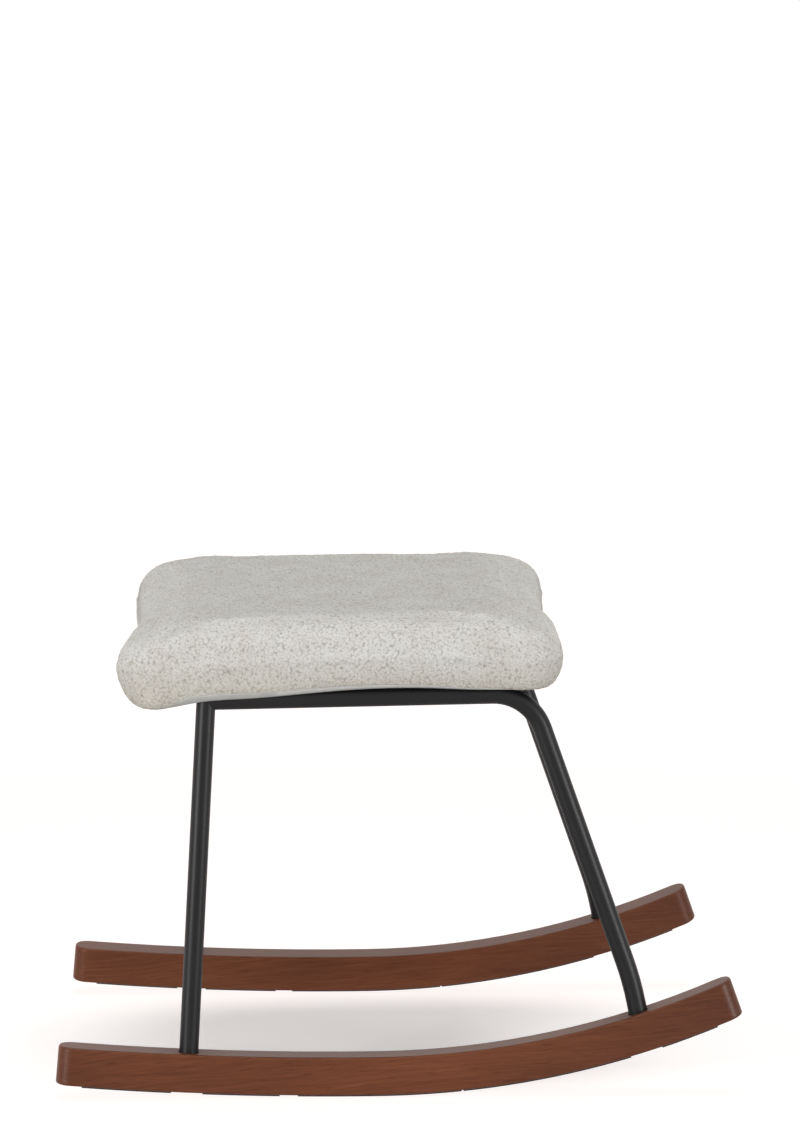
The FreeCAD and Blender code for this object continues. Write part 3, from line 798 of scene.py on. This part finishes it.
def boucle():
    """Looped cream yarn: small round knots with painted shade in the gaps between them, in patches of
    tone, more beige low down.
    """
    material, nodes, links = new_material("cream_boucle")
    place = put(nodes, "ShaderNodeTexCoord")
    drift = put(nodes, "ShaderNodeTexNoise", Scale=520.0, Detail=2.0)
    links.new(place.outputs["Object"], drift.inputs["Vector"])
    curl = put(nodes, "ShaderNodeVectorMath", operation="MULTIPLY_ADD")
    curl.inputs[1].default_value = (0.0028, 0.0028, 0.0028)
    links.new(drift.outputs["Color"], curl.inputs[0])
    links.new(place.outputs["Object"], curl.inputs[2])
    knots = put(nodes, "ShaderNodeTexVoronoi", Scale=500.0, Randomness=1.0)
    links.new(curl.outputs[0], knots.inputs["Vector"])
    fibre = put(nodes, "ShaderNodeTexNoise", Scale=2600.0, Detail=3.0, Roughness=0.6)
    links.new(curl.outputs[0], fibre.inputs["Vector"])
    patches = put(nodes, "ShaderNodeTexNoise", Scale=34.0, Detail=3.0, Roughness=0.6)
    links.new(place.outputs["Object"], patches.inputs["Vector"])

    yarn = colour_ramp(nodes, [(0.35, yarn_warm), (0.65, yarn_pale)])
    links.new(patches.outputs["Fac"], yarn.inputs["Fac"])
    # Painted shade in the gaps between the knots.
    painted_gap_shade = colour_ramp(nodes, knot_gap_shade_stops)
    links.new(knots.outputs["Distance"], painted_gap_shade.inputs["Fac"])
    clumps = put(nodes, "ShaderNodeTexNoise", Scale=150.0, Detail=3.0, Roughness=0.6)
    links.new(place.outputs["Object"], clumps.inputs["Vector"])
    gap_shade_strength = put(nodes, "ShaderNodeMapRange", **gap_shade_range)
    links.new(clumps.outputs["Fac"], gap_shade_strength.inputs["Value"])
    shaded_yarn = put(nodes, "ShaderNodeMix", data_type="RGBA", blend_type="MULTIPLY")
    shaded_yarn.clamp_factor = False
    links.new(gap_shade_strength.outputs["Result"], shaded_yarn.inputs["Factor"])
    links.new(yarn.outputs["Color"], shaded_yarn.inputs["A"])
    links.new(painted_gap_shade.outputs["Color"], shaded_yarn.inputs["B"])

    shader = put(nodes, "ShaderNodeBsdfPrincipled", Roughness=0.95)
    shader.inputs["Specular IOR Level"].default_value = 0.2
    shader.inputs["Sheen Weight"].default_value = 0.15
    shader.inputs["Sheen Roughness"].default_value = 0.5
    height = put(nodes, "ShaderNodeSeparateXYZ")
    links.new(place.outputs["Object"], height.inputs[0])
    low_range = {"From Min": beige_from, "From Max": beige_down_to, "To Max": beige_most}
    low = put(nodes, "ShaderNodeMapRange", **low_range)
    links.new(height.outputs["Z"], low.inputs["Value"])
    # More beige towards the bottom, in patches.
    low_beige_share = put(nodes, "ShaderNodeMath", operation="MULTIPLY")
    links.new(low.outputs["Result"], low_beige_share.inputs[0])
    links.new(patches.outputs["Fac"], low_beige_share.inputs[1])
    beige_low = put(nodes, "ShaderNodeMix", data_type="RGBA", blend_type="MULTIPLY")
    beige_low.inputs["B"].default_value = beige
    links.new(low_beige_share.outputs[0], beige_low.inputs["Factor"])
    links.new(shaded_yarn.outputs["Result"], beige_low.inputs["A"])
    links.new(beige_low.outputs["Result"], shader.inputs["Base Color"])
    rounded = put(nodes, "ShaderNodeMath", operation="SUBTRACT")
    rounded.inputs[0].default_value = 1.0
    links.new(knots.outputs["Distance"], rounded.inputs[1])
    coarse = bump(nodes, links, rounded.outputs[0], 0.0010, 0.7)
    links.new(bump(nodes, links, fibre.outputs["Fac"], 0.0003, 0.4, coarse), shader.inputs["Normal"])
    finish_surface(nodes, links, shader)
    return material


cushion.data.materials.append(boucle())
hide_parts("cushion_cover", "wadding_wrap", "seat_foam")
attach(cushion, "root")


# Under band
# A strip of smooth grey lining cloth sewn along the cover's lower edge, turned under the seat board and
# stapled there. It shows as a thin line under the boucle, widest at the heel end.

band_fold = 32.0 * mm
band_cloth = 0.9 * mm
corner_cover = 3.5 * mm


def cut_along(bm, place, facing, clear):
    """Cuts the mesh along a plane; clear takes away what lies in front of it."""
    geometry = bm.verts[:] + bm.edges[:] + bm.faces[:]
    bmesh.ops.bisect_plane(bm, geom=geometry, plane_co=place, plane_no=facing, clear_outer=clear)


def make_band():
    """The lower rim of the pad's own form, cut off along the band's edge and inside its fold."""
    band = link_mesh("under_band_cloth", pad_blank())
    even_out(band)
    bm = bmesh.new()
    bm.from_mesh(band.data)
    inner_x = pad_half_length - band_fold - under_round
    inner_y = pad_half_width - band_fold - under_round
    cut_along(bm, Vector((0, 0, band_top(0))), band_slope, clear=True)
    for place, facing in (
        ((pad_middle_x - inner_x, 0, 0), (1, 0, 0)),
        ((pad_middle_x + inner_x, 0, 0), (1, 0, 0)),
        ((0, -inner_y, 0), (0, 1, 0)),
        ((0, inner_y, 0), (0, 1, 0)),
    ):
        cut_along(bm, Vector(place), Vector(facing), clear=False)
    opening = [
        face
        for face in bm.faces
        if abs(face.calc_center_median().x - pad_middle_x) < inner_x
        and abs(face.calc_center_median().y) < inner_y
    ]
    bmesh.ops.delete(bm, geom=opening, context="FACES")
    for vertex in bm.verts:
        vertex.co = press_in(shape_pad(vertex.co), corner_cover * near_corner(vertex.co))
    bm.to_mesh(band.data)
    bm.free()
    thicken = band.modifiers.new("cloth", "SOLIDIFY")
    thicken.thickness = band_cloth
    thicken.offset = 0.3
    apply_modifiers(band)
    return band


band = make_band()
band.data.transform(lay_on_seat)
smooth(band)


def fine_threads_group():
    """Fine crossing threads, slightly slubbed: a mask for the slubs and a height for the threads."""
    tree = bpy.data.node_groups.new("fine threads", "ShaderNodeTree")
    group_socket(tree, "Vector", "NodeSocketVector", "INPUT")
    group_socket(tree, "Threads per Metre", "NodeSocketFloat", "INPUT", 1500.0)
    group_socket(tree, "Slub", "NodeSocketFloat", "OUTPUT")
    group_socket(tree, "Height", "NodeSocketFloat", "OUTPUT")
    nodes, links = tree.nodes, tree.links
    inside = put(nodes, "NodeGroupInput")
    outside = put(nodes, "NodeGroupOutput")
    slub = put(nodes, "ShaderNodeTexNoise", Scale=130.0, Detail=3.0)
    links.new(inside.outputs["Vector"], slub.inputs["Vector"])
    threads = put(nodes, "ShaderNodeTexVoronoi", Randomness=0.25)
    links.new(inside.outputs["Vector"], threads.inputs["Vector"])
    links.new(inside.outputs["Threads per Metre"], threads.inputs["Scale"])
    links.new(slub.outputs["Fac"], outside.inputs["Slub"])
    links.new(threads.outputs["Distance"], outside.inputs["Height"])
    return tree


fine_threads = fine_threads_group()


def thin_cloth(name, thread_light, thread_dark, threads_per_metre):
    """A smooth lining or backing cloth."""
    material, nodes, links = new_material(name)
    place = put(nodes, "ShaderNodeTexCoord")
    threads = use_group(nodes, fine_threads, Threads_per_Metre=threads_per_metre)
    links.new(place.outputs["Object"], threads.inputs["Vector"])
    ramp = colour_ramp(nodes, [(0.3, thread_dark + (1,)), (0.7, thread_light + (1,))])
    links.new(threads.outputs["Slub"], ramp.inputs["Fac"])
    shader = put(nodes, "ShaderNodeBsdfPrincipled", Roughness=0.9)
    shader.inputs["Specular IOR Level"].default_value = 0.25
    shader.inputs["Sheen Weight"].default_value = 0.1
    links.new(ramp.outputs["Color"], shader.inputs["Base Color"])
    links.new(bump(nodes, links, threads.outputs["Height"], 0.0002, 0.5), shader.inputs["Normal"])
    finish_surface(nodes, links, shader)
    return material


grey_lining = thin_cloth("grey_lining", (0.60, 0.595, 0.57), (0.53, 0.525, 0.50), 1500.0)
band.data.materials.append(grey_lining)
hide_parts("under_band")
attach(band, "root")


# Dust cover
# A sheet of black non-woven cloth stapled under the seat board to hide it. It rests on the cross tubes
# and sags a little between them.

dust_width = 0.316
dust_length = 0.3416
dust_gap = 0.35 * mm
dust_sag = 2.2 * mm
dust_ripple = 0.25 * mm
dust_cloth = 0.4 * mm
dust_corner = 22.0 * mm
dust_cell = 10.0 * mm
dust_cuts_along, dust_cuts_across = 15, 16
ripples_along, ripples_across = 95, 61


def make_dust_cover():
    """A flat sheet with rounded corners, cut into cells so that it can sag and ripple."""
    bm = bmesh.new()
    bmesh.ops.create_grid(bm, x_segments=1, y_segments=1, size=0.5)
    bmesh.ops.scale(bm, vec=(dust_width, dust_length, 1), verts=bm.verts)
    bmesh.ops.bevel(
        bm, geom=bm.verts[:], offset=dust_corner, segments=6, profile=0.5, affect="VERTICES", material=-1
    )
    middle_x = (dust_low.x + dust_high.x) / 2
    bmesh.ops.translate(bm, vec=(middle_x, 0, 0), verts=bm.verts)
    for step in range(-dust_cuts_along, dust_cuts_along + 1):
        cut_along(bm, Vector((middle_x + step * dust_cell, 0, 0)), Vector((1, 0, 0)), clear=False)
    for step in range(-dust_cuts_across, dust_cuts_across + 1):
        cut_along(bm, Vector((0, step * dust_cell, 0)), Vector((0, 1, 0)), clear=False)
    heel_bar_high, toe_bar_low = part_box("heel_cross_tube")[1].x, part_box("toe_cross_tube")[0].x
    for vertex in bm.verts:
        between = (vertex.co.x - heel_bar_high) / (toe_bar_low - heel_bar_high)
        hang = max(between * (1 - between) * 4, 0) ** 1.5
        across = 1 - (vertex.co.y / (dust_length / 2)) ** 2
        ripple = math.sin(vertex.co.x * ripples_along) * math.cos(vertex.co.y * ripples_across) + 1
        vertex.co.z = dust_gap + dust_ripple * ripple - dust_sag * hang * max(across, 0)
    cover = link_mesh("dust_sheet", bm)
    thicken = cover.modifiers.new("cloth", "SOLIDIFY")
    thicken.thickness = dust_cloth
    thicken.offset = 0
    apply_modifiers(cover)
    return cover


dust_sheet = make_dust_cover()
dust_sheet.data.transform(lay_on_seat)
smooth(dust_sheet)
black_non_woven = thin_cloth("black_non_woven", (0.030, 0.030, 0.031), (0.018, 0.018, 0.019), 700.0)
dust_sheet.data.materials.append(black_non_woven)
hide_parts("dust_cover")
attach(dust_sheet, "root")
